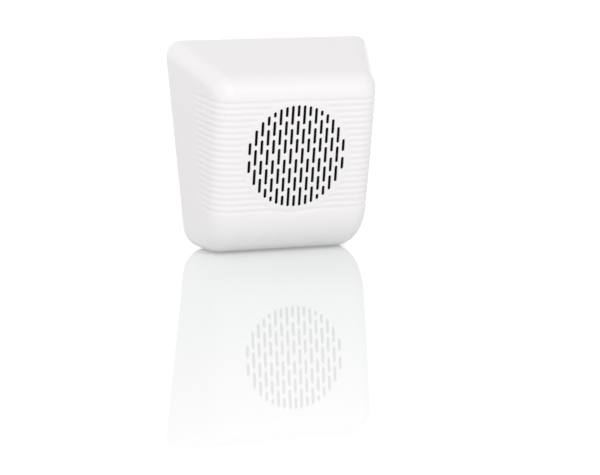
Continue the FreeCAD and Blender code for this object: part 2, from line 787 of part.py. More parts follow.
HEADER = (-36.0, -28.0, 45.0, 51.0)


def speaker_header():
    x0, x1, h0, h1 = HEADER
    body = box(x0, x1, BOARD_FRONT - 7.0, BOARD_FRONT, level(h0), level(h1))
    wall = 0.7
    z0, z1 = level(h0 + wall), level(h1 - wall)
    return body.cut(box(x0 + wall, x1 - wall, BOARD_FRONT - 8.0, BOARD_FRONT - 1.0, z0, z1))


def lead_starts():
    x0, x1, h0, h1 = HEADER
    middle = (x0 + x1) / 2
    return [Vector(middle + side * 1.5, BOARD_FRONT - 9.0, level((h0 + h1) / 2)) for side in (-1, 1)]


def speaker_plug():
    x0, x1, h0, h1 = HEADER
    body = box(x0 + 0.8, x1 - 0.8, BOARD_FRONT - 9.0, BOARD_FRONT - 1.1, level(h0 + 0.8), level(h1 - 0.8))
    return body.cut([rod(0.75, start, Y, 2.0) for start in lead_starts()])


def speaker_lead(number):
    """Insulated lead from the plug to one solder tag, held at both ends."""
    start = lead_starts()[number] + Y * 1.9
    tag = GRILLE_FRAME.multVec(Vector(-41.6, tag_sides()[1 - number], STRIP_DEPTH + 3.1))
    out = start - Y * (9.0 + 3.0 * number)
    rise = Vector(-43.0 - 7.0 * number, -45.0, level(67.0))
    over = tag + INWARD * 7.0 - X * 6.0 * number
    return bent_tube([start, out, rise, over, tag], 0.7, 3.5)


# ---------------------------------------------------------------------------- export
def parts():
    found = {
        "front_housing": front_housing(),
        "grille_cloth": grille_cloth(),
        "damping_pad": damping_pad(),
        "rear_panel": rear_panel(),
        "rear_seal": rear_seal(),
        "rear_screws": rear_screws(),
        "mount_inserts": mount_inserts(),
        "main_board": main_board(),
        "board_screws": board_screws(),
        "network_jack": network_jack(),
        "jack_contacts": jack_contacts(),
        "terminal_block": terminal_block(),
        "level_control": level_control(),
        "level_knob": level_knob(),
        "reset_switch": reset_switch(),
        "reset_button": reset_button(),
        "status_light": status_light(),
        "amplifier_chip": amplifier_chip(),
        "heat_sink": heat_sink(),
        "shield_can": shield_can(),
        "network_chip": network_chip(),
        "filter_inductors": filter_inductors(),
        "capacitors": capacitors(),
        "speaker_header": speaker_header(),
        "speaker_plug": speaker_plug(),
        "speaker_lead_plus": speaker_lead(0),
        "speaker_lead_minus": speaker_lead(1),
    }
    for number in range(WAYS):
        found[f"release_button_{number + 1}"] = release_button(number)
    driver = {
        "driver_gasket": driver_gasket,
        "driver_basket": driver_basket,
        "driver_screws": driver_screws,
        "surround": surround,
        "cone": cone,
        "dust_cap": dust_cap,
        "coil_former": coil_former,
        "coil_winding": coil_winding,
        "spider": spider,
        "top_plate": top_plate,
        "magnet_ring": magnet_ring,
        "yoke": yoke,
        "terminal_strip": terminal_strip,
        "terminal_tags": terminal_tags,
        "tinsel_leads": tinsel_leads,
    }
    for name, make in driver.items():
        found[name] = on_grille(make())
    return found


os.makedirs("parts", exist_ok=True)
for name, shape in parts().items():
    solids = shape.Solids
    state = "valid" if shape.isValid() else "INVALID"
    print(name, len(solids), "solids", round(sum(s.Volume for s in solids)), "mm3", state)
    shape.exportStep(f"parts/{name}.step")
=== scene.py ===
"""Looks of the wall cabinet loudspeaker. Lengths are in millimetres and are scaled to metres at the end.

The frame is the part's own: +X right seen from the front, +Y into the wall, +Z up, the origin at the
centre of the four bracket inserts on the back face.
"""
import math

import bmesh
import bpy
import numpy as np
from mathutils import Matrix, Vector, noise
from mathutils.geometry import delaunay_2d_cdt


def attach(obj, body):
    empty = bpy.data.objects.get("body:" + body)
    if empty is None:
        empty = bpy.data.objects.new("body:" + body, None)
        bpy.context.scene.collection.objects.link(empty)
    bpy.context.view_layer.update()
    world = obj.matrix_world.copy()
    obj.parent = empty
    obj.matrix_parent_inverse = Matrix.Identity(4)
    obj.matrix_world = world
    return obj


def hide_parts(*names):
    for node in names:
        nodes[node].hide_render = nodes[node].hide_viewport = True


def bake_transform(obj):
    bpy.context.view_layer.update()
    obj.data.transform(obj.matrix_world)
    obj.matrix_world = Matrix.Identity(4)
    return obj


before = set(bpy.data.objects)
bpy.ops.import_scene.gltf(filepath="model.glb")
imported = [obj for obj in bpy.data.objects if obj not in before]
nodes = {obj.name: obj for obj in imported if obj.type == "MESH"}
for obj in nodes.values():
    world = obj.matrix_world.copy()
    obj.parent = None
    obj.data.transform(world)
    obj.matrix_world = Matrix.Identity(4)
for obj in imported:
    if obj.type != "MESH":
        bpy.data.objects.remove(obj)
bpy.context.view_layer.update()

MM = 0.001

# ---------------------------------------------------------------- cabinet form, as the part has it
TILT = math.radians(7.6)
COS, SIN = math.cos(TILT), math.sin(TILT)
BOTTOM, TOP = -112.0, 79.0
HEIGHT = TOP - BOTTOM
GRILLE = np.array([-72.0, -20.0])            # Y, Z of the grille's centre on the front plane
CREASE = np.array([-81.0, 48.0])             # a point of the top slope's line
WALL = 2.6
TOE_RADIUS, CREASE_RADIUS = 45.0, 22.0
FRONT_PLANE = -83.2
HALF_LOW, HALF_HIGH = (79.6, 71.2), (100.0, 74.5)   # half widths (wall, front) at bottom and top
EDGE_RADII = (23.0, 17.0, 15.0)
RIB_PITCH, RIB_COUNT = 5.55, 19
GROOVE_DEPTH, GROOVE_POWER = 0.65, 1.5
GROOVE_END, GROOVE_FADE = -36.0, 5.0         # Y where the side grooves end, and the length they fade over
BOW_HEIGHTS, BOW_WIDTH = (1.1, -2.1), 14.0   # how far the grooves above and below the disc bow
BOW_STARTS = (46.5, 49.5)
FRONT_ENDS = (3.0, 1.0)                      # depths between which a point stops being on the front
DISC_RADIUS, DISC_EDGE = 51.8, (-0.6, 0.8)
PITCH, GRILLE_RADIUS, SLOT_RADIUS = 5.6, 46.9, 1.35
LAST_COLUMN = 8
ODD_SPANS = [(-1.32, 1.32), (1.90, 4.52), (5.16, 9.0)]     # ends of the slots of a column, in pitches
EVEN_SPANS = [(0.47, 2.86), (3.45, 5.84), (6.47, 9.0)]
SHORTEST_SLOT = 0.6                                        # in pitches
GRILLE_WEB, RECESS_RADIUS = 1.1, 47.9

INWARD = np.array([COS, SIN])
FRONT_UP = np.array([-SIN, COS])
N_BOTTOM = np.array([0.0, -1.0])
N_FRONT = -INWARD
slope = np.array([0.0, TOP]) - CREASE
slope /= np.linalg.norm(slope)
N_SLOPE = np.array([-slope[1], slope[0]])
PHI = [math.atan2(-n[0], -n[1]) for n in (N_BOTTOM, N_FRONT, N_SLOPE)]


def rounded_max(a, na, b, nb, radius):
    """Larger of two distances with the corner rolled to a radius, and its outward normal."""
    c = (na * nb).sum(-1)
    qa, qb = a + radius, b + radius
    free = 1 - c * c
    alpha, beta = (qa - c * qb) / free, (qb - c * qa) / free
    zone = (alpha > 0) & (beta > 0)
    v = alpha[..., None] * na + beta[..., None] * nb
    length = np.maximum(np.linalg.norm(v, axis=-1), 1e-9)
    value = np.where(zone, length - radius, np.maximum(a, b))
    flat = np.where((a > b)[..., None], na, nb)
    return value, np.where(zone[..., None], v / length[..., None], flat)


def half_ends(y):
    """Half widths at the bottom and at the top, a depth y ahead of the wall."""
    share = y / FRONT_PLANE
    low = HALF_LOW[0] + (HALF_LOW[1] - HALF_LOW[0]) * share
    high = HALF_HIGH[0] + (HALF_HIGH[1] - HALF_HIGH[0]) * share
    return low, high


def half_width(y, z):
    low, high = half_ends(y)
    return low + (high - low) * (z - BOTTOM) / HEIGHT


def field(p):
    """Signed distance to the cabinet's skin and its outward normal at points (n, 3)."""
    yz = p[:, 1:]
    ones = np.ones((len(p), 1))
    bottom = (yz - [0, BOTTOM]) @ N_BOTTOM
    front = (yz - GRILLE) @ N_FRONT
    top = (yz - [0, TOP]) @ N_SLOPE
    d, n = rounded_max(bottom, ones * N_BOTTOM, front, ones * N_FRONT, TOE_RADIUS)
    d, n = rounded_max(d, n, top, ones * N_SLOPE, CREASE_RADIUS)
    low, high = half_ends(p[:, 1])
    rise = (p[:, 2] - BOTTOM) / HEIGHT
    half = low + (high - low) * rise
    taper = (HALF_LOW[1] - HALF_LOW[0]) * (1 - rise) + (HALF_HIGH[1] - HALF_HIGH[0]) * rise
    along_y = taper / FRONT_PLANE
    along_z = (high - low) / HEIGHT
    size = np.sqrt(1 + along_y ** 2 + along_z ** 2)
    side = (np.abs(p[:, 0]) - half) / size
    n_side = np.stack([np.where(p[:, 0] < 0, -1.0, 1.0), -along_y, -along_z], 1) / size[:, None]
    phi = np.arctan2(-n[:, 0], -n[:, 1])
    radius = np.interp(phi, PHI, EDGE_RADII)
    n = np.concatenate([np.zeros((len(p), 1)), n], 1)
    return rounded_max(d, n, side, n_side, radius)


def meet(p, d, q, e):
    """Where the line p + k d crosses the line through q along e."""
    turn = d[0] * e[1] - d[1] * e[0]
    k = ((q[0] - p[0]) * e[1] - (q[1] - p[1]) * e[0]) / turn
    return p + d * k


def arc(centre, radius, n0, n1, count):
    """Points of an arc between two outward normals, both ends included."""
    a0 = math.atan2(n0[1], n0[0])
    turn = math.atan2(n0[0] * n1[1] - n0[1] * n1[0], n0 @ n1)
    angles = a0 + turn * np.linspace(0, 1, count)
    return centre + radius * np.stack([np.cos(angles), np.sin(angles)], 1)


TOE_STEPS, CREASE_STEPS, BOTTOM_STEPS, TOP_STEPS = 42, 34, 9, 26
ROWS_PER_RIB, ROW_MARGIN = 8, 0.3
BACK_LOW, BACK_HIGH = BOTTOM + 30.0, BOTTOM + 165.0    # where the first and last rows meet the back


def profile_rows():
    """(P, B) of each row: P on the side profile, B on the plane Y = 0. A row is cut by their plane."""
    toe = meet(GRILLE, FRONT_UP, np.array([0.0, BOTTOM]), np.array([1.0, 0.0]))
    crease = meet(GRILLE, FRONT_UP, np.array([0.0, TOP]), slope)
    toe_centre = toe - TOE_RADIUS * (N_BOTTOM + N_FRONT) / (1 + N_BOTTOM @ N_FRONT)
    crease_centre = crease - CREASE_RADIUS * (N_FRONT + N_SLOPE) / (1 + N_FRONT @ N_SLOPE)
    toe_arc = arc(toe_centre, TOE_RADIUS, N_BOTTOM, N_FRONT, TOE_STEPS)
    crease_arc = arc(crease_centre, CREASE_RADIUS, N_FRONT, N_SLOPE, CREASE_STEPS)
    t3, c1 = toe_arc[-1], crease_arc[0]
    v0, v1 = (t3 - GRILLE) @ FRONT_UP, (c1 - GRILLE) @ FRONT_UP
    step = RIB_PITCH / ROWS_PER_RIB
    first, last = math.ceil(v0 / step + ROW_MARGIN), math.floor(v1 / step - ROW_MARGIN)
    vs = np.arange(first, last + 1) * step
    bottom = np.linspace([0.0, BOTTOM], toe_arc[0], BOTTOM_STEPS)[:-1]
    front = GRILLE + vs[:, None] * FRONT_UP
    back_top = np.linspace(crease_arc[-1], [0.0, TOP], TOP_STEPS)[1:]

    def back_height(p):
        return p[:, 1] - p[:, 0] * SIN / COS

    low, low_end = np.concatenate([bottom, toe_arc]), back_height(t3[None])[0]
    high, high_start = np.concatenate([crease_arc, back_top]), back_height(c1[None])[0]

    def spread(points, start, end):
        run = np.concatenate([[0], np.cumsum(np.linalg.norm(np.diff(points, axis=0), axis=1))])
        return start + (end - start) * run / run[-1]

    p = np.concatenate([low, front, high])
    heights = np.concatenate([spread(low, BACK_LOW, low_end), back_height(front),
                              spread(high, high_start, BACK_HIGH)])
    return p, np.stack([np.zeros(len(p)), heights], 1)


SIDE_STEPS, CORNER_STEPS, ACROSS_STEPS = 30, 13, 124
SETTLE_STEPS, LONGEST_MOVE, LEAST_SLOPE = 12, 3.0, 0.05


def skin(inset, p, b, columns):
    """Grid of points (rows, columns, 3) on the level inset below the cabinet's skin."""
    rows = len(p)
    length = np.linalg.norm(b - p, axis=1)
    s_dir = (b - p) / length[:, None]
    d, n = rounded_max((p - [0, BOTTOM]) @ N_BOTTOM, np.ones((rows, 1)) * N_BOTTOM,
                       (p - GRILLE) @ N_FRONT, np.ones((rows, 1)) * N_FRONT, TOE_RADIUS)
    d, n = rounded_max(d, n, (p - [0, TOP]) @ N_SLOPE, np.ones((rows, 1)) * N_SLOPE, CREASE_RADIUS)
    radius = np.interp(np.arctan2(-n[:, 0], -n[:, 1]), PHI, EDGE_RADII)
    corner = p + s_dir * radius[:, None]
    half = half_width(corner[:, 0], corner[:, 1])
    xs, ss = [], []
    for k in range(SIDE_STEPS):
        ss.append(length + (radius - length) * k / SIDE_STEPS)
        spot = p + s_dir * ss[-1][:, None]
        xs.append(-half_width(spot[:, 0], spot[:, 1]))
    for k in range(CORNER_STEPS):
        angle = math.pi / 2 * k / CORNER_STEPS
        xs.append(-(half - radius) - radius * math.cos(angle))
        ss.append(radius * (1 - math.sin(angle)))
    for k in range(ACROSS_STEPS // 2):
        xs.append(-(half - radius) * (1 - 2 * k / ACROSS_STEPS))
        ss.append(radius * 0)
    left = np.stack(xs, 1), np.stack(ss, 1)
    x = np.concatenate([left[0], np.zeros((rows, 1)), -left[0][:, ::-1]], 1)[:, columns]
    s = np.concatenate([left[1], np.zeros((rows, 1)), left[1][:, ::-1]], 1)[:, columns]
    rim = np.zeros(x.shape, bool)
    rim[:, 0] = rim[:, -1] = True
    for _ in range(SETTLE_STEPS):
        yz = p[:, None] + s_dir[:, None] * s[..., None]
        points = np.concatenate([x[..., None], yz], 2)
        f, g = field(points.reshape(-1, 3))
        f, g = f.reshape(x.shape) + inset, g.reshape(points.shape)
        gx = g[..., 0]
        gs = np.where(rim, 0.0, (g[..., 1:] * s_dir[:, None]).sum(-1))
        scale = f / np.maximum(gx ** 2 + gs ** 2, LEAST_SLOPE)
        scale = np.clip(scale, -LONGEST_MOVE, LONGEST_MOVE)
        x, s = x - gx * scale, s - gs * scale
    yz = p[:, None] + s_dir[:, None] * s[..., None]
    points = np.concatenate([x[..., None], yz], 2)
    normals = field(points.reshape(-1, 3))[1].reshape(points.shape)
    return points, normals


def smoothstep(edge0, edge1, value):
    t = np.clip((value - edge0) / (edge1 - edge0), 0, 1)
    return t * t * (3 - 2 * t)


def groove_depth(points):
    """Depth of the rolled grooves at points of the plain skin."""
    x = points[..., 0]
    yz = points[..., 1:] - GRILLE
    v = yz @ FRONT_UP
    bow = np.where(v > 0, *BOW_HEIGHTS) * np.exp(-(x / BOW_WIDTH) ** 2)
    on_face = smoothstep(*FRONT_ENDS, yz @ INWARD)
    v = v - bow * smoothstep(*BOW_STARTS, np.abs(v)) * on_face
    number = np.round(v / RIB_PITCH)
    wave = (0.5 + 0.5 * np.cos(2 * math.pi * v / RIB_PITCH)) ** GROOVE_POWER
    last = (RIB_COUNT - 1) / 2
    wave = np.where(np.abs(number) <= last, wave, 0)
    ahead = smoothstep(GROOVE_END, GROOVE_END - GROOVE_FADE, points[..., 1])
    reach = np.hypot(x, yz @ FRONT_UP) - DISC_RADIUS
    outside = np.maximum(smoothstep(*DISC_EDGE, reach), 1 - on_face)
    outside = np.where(np.abs(number) == last, 1.0, outside)
    return GROOVE_DEPTH * wave * ahead * outside


def slot_spans(column):
    """Spans of the slots of one column above the centre line, in millimetres."""
    reach = math.sqrt((GRILLE_RADIUS / PITCH) ** 2 - column ** 2)
    spans = ODD_SPANS if column % 2 else EVEN_SPANS
    kept = [(low, min(high, reach)) for low, high in spans]
    return [(low * PITCH, high * PITCH) for low, high in kept if high - low > SHORTEST_SLOT]


def slots():
    """(x, low, high) of the centres of each slot's two round ends."""
    found = []
    for column in range(-LAST_COLUMN, LAST_COLUMN + 1):
        for low, high in slot_spans(abs(column)):
            for a, b in [(low, high)] if low < 0 else [(low, high), (-high, -low)]:
                found.append((column * PITCH, a + SLOT_RADIUS, b - SLOT_RADIUS))
    return found


END_STEPS = 8


def slot_outline(slot, offset):
    x, low, high = slot
    radius = SLOT_RADIUS + offset
    turn = np.linspace(0, math.pi, END_STEPS + 1)
    upper = np.stack([x + radius * np.cos(turn), high + radius * np.sin(turn)], 1)
    lower = np.stack([x - radius * np.cos(turn), low - radius * np.sin(turn)], 1)
    return np.concatenate([upper, lower])


def on_front(flat, depth):
    """Points (x, v) on the front plane, moved inwards by a depth."""
    yz = GRILLE + flat[:, 1:] * FRONT_UP + depth * INWARD
    return np.concatenate([flat[:, :1], yz], 1)


class Shell:
    """Collects vertices and faces of one mesh."""

    def __init__(self):
        self.points, self.faces, self.count = [], [], 0

    def add(self, points):
        self.points.append(np.asarray(points).reshape(-1, 3))
        start = self.count
        self.count += len(self.points[-1])
        return np.arange(start, self.count)

    def strip(self, a, b, closed=False):
        """Quads between two lines of vertices."""
        n = len(a)
        for i in range(n if closed else n - 1):
            j = (i + 1) % n
            self.faces.append([a[i], a[j], b[j], b[i]])

    def mesh(self, name):
        """The mesh in metres, with its normals facing out."""
        mesh = bpy.data.meshes.new(name)
        points = np.concatenate(self.points) * MM
        mesh.from_pydata(points.tolist(), [], [[int(i) for i in face] for face in self.faces])
        build = bmesh.new()
        build.from_mesh(mesh)
        bmesh.ops.recalc_face_normals(build, faces=build.faces)
        open_edges = sum(1 for e in build.edges if len(e.link_faces) != 2)
        print(name, len(build.verts), "vertices", len(build.faces), "faces", open_edges, "open edges")
        build.to_mesh(mesh)
        build.free()
        mesh.shade_smooth()
        mesh.set_sharp_from_angle(angle=math.radians(40))
        return mesh


def outline_of(faces):
    """Vertices round a patch of faces, in order."""
    uses = {(a, b) for face in faces for a, b in zip(face, face[1:] + face[:1])}
    following = {a: b for a, b in uses if (b, a) not in uses}
    outline = [next(iter(following))]
    while following[outline[-1]] != outline[0]:
        outline.append(following[outline[-1]])
    return outline


def fill_flat(shell, outline, loops):
    """Fills a flat outline, given as (vertices, points), round the loops left open in it."""
    coords, owner, edges = [], [], []
    for ids, flat in [outline] + loops:
        base = len(coords)
        coords += [Vector(c) for c in flat]
        owner += [int(i) for i in ids]
        edges += [(base + i, base + (i + 1) % len(ids)) for i in range(len(ids))]
    verts, _, tris, origin, _, _ = delaunay_2d_cdt(coords, edges, [], 0, 1e-5)
    centres = np.array([np.mean([verts[i] for i in t], axis=0) for t in tris])
    inside = in_polygon(centres, outline[1])
    for _, flat in loops:
        inside &= ~in_polygon(centres, flat)
    shell.faces += [[owner[origin[i][0]] for i in t] for keep, t in zip(inside, tris) if keep]


def in_polygon(points, ring):
    x, y = points[:, 0], points[:, 1]
    inside = np.zeros(len(points), bool)
    for (x0, y0), (x1, y1) in zip(ring, np.roll(ring, -1, 0)):
        cross = (y0 > y) != (y1 > y)
        inside ^= cross & (x < (x1 - x0) * (y - y0) / (y1 - y0 + 1e-12) + x0)
    return inside


def grid_faces(grid):
    quads = np.stack([grid[:-1, :-1], grid[:-1, 1:], grid[1:, 1:], grid[1:, :-1]], -1)
    return quads.reshape(-1, 4).tolist()


LIP, LIP_MARGIN = 0.35, 0.12
LIP_ANGLES = (0, 30, 60, 90)
CUT_RADII = (50.4, 53.0)       # extent of the flat disc that is filled on the outer and the inner skin
FLAT_LIMIT = 0.3               # how far from flat a vertex of that disc may be
RECESS_STEPS = 120
INNER_ROW_STEP, INNER_COLUMN_STEP = 4, 3


def housing_mesh():
    p, b = profile_rows()
    all_columns = np.arange(2 * (SIDE_STEPS + CORNER_STEPS) + ACROSS_STEPS + 1)
    shell = Shell()
    outer, normals = skin(0.0, p, b, all_columns)
    outer = outer - normals * groove_depth(outer)[..., None]
    outer_ids = shell.add(outer).reshape(outer.shape[:2])

    inner_rows = sorted(set(range(0, len(p), INNER_ROW_STEP)) | {len(p) - 1})
    inner_columns = sorted(set(all_columns[::INNER_COLUMN_STEP]) | {all_columns[-1]})
    inner, _ = skin(WALL, p[inner_rows], b[inner_rows], inner_columns)
    inner_ids = shell.add(inner).reshape(inner.shape[:2])

    points = np.concatenate(shell.points)
    flat = np.stack([points[:, 0], (points[:, 1:] - GRILLE) @ FRONT_UP], 1)
    depth = (points[:, 1:] - GRILLE) @ INWARD
    gaps = []
    for ids, level, cut in ((outer_ids, 0.0, CUT_RADII[0]), (inner_ids, WALL, CUT_RADII[1])):
        inside = (np.hypot(*flat[ids.ravel()].T) < cut) & (abs(depth[ids.ravel()] - level) < FLAT_LIMIT)
        near = set(ids.ravel()[inside].tolist())
        removed = []
        for face in grid_faces(ids):
            (removed if all(i in near for i in face) else shell.faces).append(face)
        outline = outline_of(removed)
        gaps.append((outline, flat[outline]))

    def loop(flat_points, at_depth):
        return shell.add(on_front(flat_points, at_depth)), flat_points

    turn = np.linspace(0, 2 * math.pi, RECESS_STEPS, endpoint=False)
    circle = RECESS_RADIUS * np.stack([np.cos(turn), np.sin(turn)], 1)
    recess_mouth, recess_floor = loop(circle, WALL), loop(circle, GRILLE_WEB)
    mouths = [loop(slot_outline(slot, LIP + LIP_MARGIN), 0.0) for slot in slots()]
    ends = [loop(slot_outline(slot, 0.0), GRILLE_WEB) for slot in slots()]
    fill_flat(shell, gaps[0], mouths)
    fill_flat(shell, gaps[1], [recess_mouth])
    shell.strip(recess_mouth[0], recess_floor[0], True)
    fill_flat(shell, recess_floor, ends)
    for slot, mouth, end in zip(slots(), mouths, ends):
        before = mouth[0]
        for angle in LIP_ANGLES:
            a = math.radians(angle)
            edge = slot_outline(slot, LIP * (1 - math.sin(a)))
            ring = shell.add(on_front(edge, LIP * (1 - math.cos(a))))
            shell.strip(before, ring, True)
            before = ring
        shell.strip(before, end[0], True)

    # Rim on the plane Y = 0, between the outer and the coarser inner skin.
    for a, c in zip(range(len(inner_rows) - 1), range(1, len(inner_rows))):
        r0, r1 = inner_rows[a], inner_rows[c]
        for column, inner_column in ((0, 0), (-1, -1)):
            line = list(outer_ids[r0:r1 + 1, column])
            shell.faces.append(line + [inner_ids[c, inner_column], inner_ids[a, inner_column]])
    for a, c in zip(range(len(inner_columns) - 1), range(1, len(inner_columns))):
        k0, k1 = inner_columns[a], inner_columns[c]
        for row in (0, -1):
            line = list(outer_ids[row, k0:k1 + 1])
            shell.faces.append(line + [inner_ids[row, c], inner_ids[row, a]])

    return shell.mesh("housing")


# ---------------------------------------------------------------- materials
PATCH_SCALE = 60


def linear(value):
    """Linear value of an 8-bit sRGB level."""
    value /= 255
    return value / 12.92 if value <= 0.04045 else ((value + 0.055) / 1.055) ** 2.4


def surface(name, rgb, roughness, metallic, grain, size, patch, **sockets):
    """Node material: one colour, a fine bump of a given depth and size in mm, and uneven gloss."""
    material = bpy.data.materials.new(name)
    material.use_nodes = True
    tree = material.node_tree
    shader = tree.nodes["Principled BSDF"]
    shader.inputs["Base Color"].default_value = (*(linear(c) for c in rgb), 1)
    shader.inputs["Metallic"].default_value = metallic
    shader.inputs["Roughness"].default_value = roughness
    for socket, value in sockets.items():
        shader.inputs[socket.replace("_", " ")].default_value = value
    place = tree.nodes.new("ShaderNodeTexCoord")
    if grain:
        grains = tree.nodes.new("ShaderNodeTexNoise")
        grains.inputs["Scale"].default_value = 1 / (size * MM)
        grains.inputs["Detail"].default_value = 3
        bump = tree.nodes.new("ShaderNodeBump")
        bump.inputs["Strength"].default_value = 1.0
        bump.inputs["Distance"].default_value = grain * MM
        tree.links.new(place.outputs["Object"], grains.inputs["Vector"])
        tree.links.new(grains.outputs["Fac"], bump.inputs["Height"])
        tree.links.new(bump.outputs["Normal"], shader.inputs["Normal"])
    if patch:
        cloud = tree.nodes.new("ShaderNodeTexNoise")
        cloud.inputs["Scale"].default_value = PATCH_SCALE
        spread = tree.nodes.new("ShaderNodeMapRange")
        spread.inputs["To Min"].default_value = roughness - patch
        spread.inputs["To Max"].default_value = roughness + patch
        tree.links.new(place.outputs["Object"], cloud.inputs["Vector"])
        tree.links.new(cloud.outputs["Fac"], spread.inputs["Value"])
        tree.links.new(spread.outputs["Result"], shader.inputs["Roughness"])
    return material


# Name, colour (8-bit sRGB), roughness, metallic, grain depth and size in mm, change of roughness.
FINISHES = [
    ("white_abs", (230.5, 229, 229), 0.36, 0.0, 0.012, 0.5, 0.03),
    ("white_abs_rear", (226, 226, 224), 0.5, 0.0, 0.03, 0.35, 0.04),
    ("black_cloth", (10, 10, 11), 0.95, 0.0, 0.0, 1.0, 0.0),
    ("wadding", (214, 214, 208), 0.95, 0.0, 0.8, 2.5, 0.0),
    ("foam", (52, 52, 54), 0.9, 0.0, 0.15, 0.6, 0.0),
    ("zinc_steel", (196, 198, 202), 0.3, 1.0, 0.01, 0.4, 0.06),
    ("brass", (206, 172, 98), 0.28, 1.0, 0.01, 0.3, 0.06),
    ("board_green", (24, 84, 52), 0.34, 0.0, 0.02, 1.2, 0.04),
    ("nickel_shell", (204, 202, 196), 0.26, 1.0, 0.008, 0.5, 0.06),
    ("gold", (232, 190, 96), 0.22, 1.0, 0.0, 1.0, 0.0),
    ("grey_plastic", (128, 131, 134), 0.45, 0.0, 0.02, 0.3, 0.04),
    ("black_plastic", (26, 26, 28), 0.42, 0.0, 0.02, 0.3, 0.04),
    ("knob_plastic", (34, 34, 37), 0.4, 0.0, 0.02, 0.3, 0.04),
    ("red_plastic", (186, 34, 30), 0.38, 0.0, 0.015, 0.3, 0.04),
    ("light_lens", (120, 214, 120), 0.3, 0.0, 0.01, 0.4, 0.03),
    ("aluminium", (188, 190, 194), 0.34, 1.0, 0.01, 0.5, 0.06),
    ("ferrite", (56, 56, 60), 0.62, 0.0, 0.04, 0.4, 0.05),
    ("can_metal", (40, 44, 60), 0.38, 0.2, 0.01, 0.4, 0.04),
    ("cream_plastic", (228, 220, 196), 0.45, 0.0, 0.02, 0.3, 0.04),
    ("lead_red", (178, 28, 26), 0.45, 0.0, 0.01, 0.4, 0.04),
    ("lead_black", (24, 24, 26), 0.45, 0.0, 0.01, 0.4, 0.04),
    ("black_steel", (34, 34, 37), 0.4, 0.3, 0.015, 0.4, 0.05),
    ("rubber", (24, 24, 25), 0.6, 0.0, 0.02, 0.5, 0.05),
    ("paper", (44, 42, 41), 0.85, 0.0, 0.08, 0.8, 0.05),
    ("former_film", (170, 112, 44), 0.3, 0.0, 0.01, 0.4, 0.04),
    ("copper", (196, 112, 68), 0.28, 1.0, 0.02, 0.2, 0.04),
    ("spider_cloth", (206, 160, 86), 0.85, 0.0, 0.0, 1.0, 0.0),
    ("phenolic", (128, 84, 44), 0.5, 0.0, 0.02, 0.5, 0.04),
    ("orange_plastic", (224, 110, 28), 0.4, 0.0, 0.015, 0.3, 0.04),
]
MORE = {
    "black_cloth": {"Specular_IOR_Level": 0.1},
    "light_lens": {"Transmission_Weight": 0.35},
}
SURFACES = {row[0]: surface(*row, **MORE.get(row[0], {})) for row in FINISHES}
BAND_WIDTH = 0.314             # width of one band of the wave texture at a scale of 1


def add_weave(material, pitch, depth):
    """Gives a cloth material crossed threads of a pitch and height in mm."""
    tree = material.node_tree
    shader = tree.nodes["Principled BSDF"]
    place = tree.nodes.new("ShaderNodeTexCoord")
    threads = []
    for direction in ("X", "Z"):
        wave = tree.nodes.new("ShaderNodeTexWave")
        wave.bands_direction = direction
        wave.inputs["Scale"].default_value = BAND_WIDTH / (pitch * MM)
        tree.links.new(place.outputs["Object"], wave.inputs["Vector"])
        threads.append(wave.outputs["Fac"])
    higher = tree.nodes.new("ShaderNodeMath")
    higher.operation = "MAXIMUM"
    bump = tree.nodes.new("ShaderNodeBump")
    bump.inputs["Distance"].default_value = depth * MM
    for thread, socket in zip(threads, higher.inputs):
        tree.links.new(thread, socket)
    tree.links.new(higher.outputs["Value"], bump.inputs["Height"])
    tree.links.new(bump.outputs["Normal"], shader.inputs["Normal"])


add_weave(SURFACES["black_cloth"], 0.6, 0.15)
add_weave(SURFACES["spider_cloth"], 0.5, 0.1)

slot_of = {}
for name, node in nodes.items():
    slot_of[name] = node.data.materials[0].name.split(".")[0]
    node.data.materials.clear()
    node.data.materials.append(SURFACES[slot_of[name]])


def piece(name, mesh, stands_for):
    """Object with the finish of the CAD node that it stands for."""
    made = bpy.data.objects.new(name, mesh)
    bpy.context.scene.collection.objects.link(made)
    mesh.materials.clear()
    mesh.materials.append(SURFACES[slot_of[stands_for]])
    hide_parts(stands_for)
    return made


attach(piece("housing", housing_mesh(), "front_housing"), "cabinet")

# ---------------------------------------------------------------- soft parts inside
CLOTH_RADIUS, CLOTH_THICK = 47.5, 0.4
CLOTH_RINGS, CLOTH_TURNS = 14, 96
WADDING_GRID, WADDING_SMOOTHING = 2.5, 12
WADDING_HOLLOW, WADDING_PATCH = 0.7, 9.0     # mean depth and size of its hollows
WELD = 0.001
WEDGES = 12
BLEND_RADII = (("surround", 42.6, 39.0), ("spider", 25.0, 15.0))


def driver_point(x, y, depth):
    """A point of the driver's frame (x right, y up the front, depth inwards), in metres."""
    return Vector(on_front(np.array([[x, y]]), depth)[0] * MM)


def cloth_mesh():
    """Round stretched cloth behind the slots, with a front and a back layer."""
    turns = np.arange(CLOTH_TURNS) * 2 * math.pi / CLOTH_TURNS
    around = np.stack([np.cos(turns), np.sin(turns)], 1)
    shell = Shell()
    radii = CLOTH_RADIUS * np.arange(1, CLOTH_RINGS + 1) / CLOTH_RINGS
    rims = []
    for depth, flip in ((GRILLE_WEB, False), (GRILLE_WEB + CLOTH_THICK, True)):
        centre = shell.add(on_front(np.zeros((1, 2)), depth))[0]
        rings = [shell.add(on_front(around * r, depth)) for r in radii]
        for i in range(CLOTH_TURNS):
            j = (i + 1) % CLOTH_TURNS
            faces = [(centre, rings[0][i], rings[0][j])]
            faces += [(a[i], b[i], b[j], a[j]) for a, b in zip(rings, rings[1:])]
            shell.faces += [face[::-1] if flip else face for face in faces]
        rims.append(rings[-1])
    for i in range(CLOTH_TURNS):
        j = (i + 1) % CLOTH_TURNS
        shell.faces.append((rims[0][i], rims[1][i], rims[1][j], rims[0][j]))
    return shell.mesh("grille_fabric")


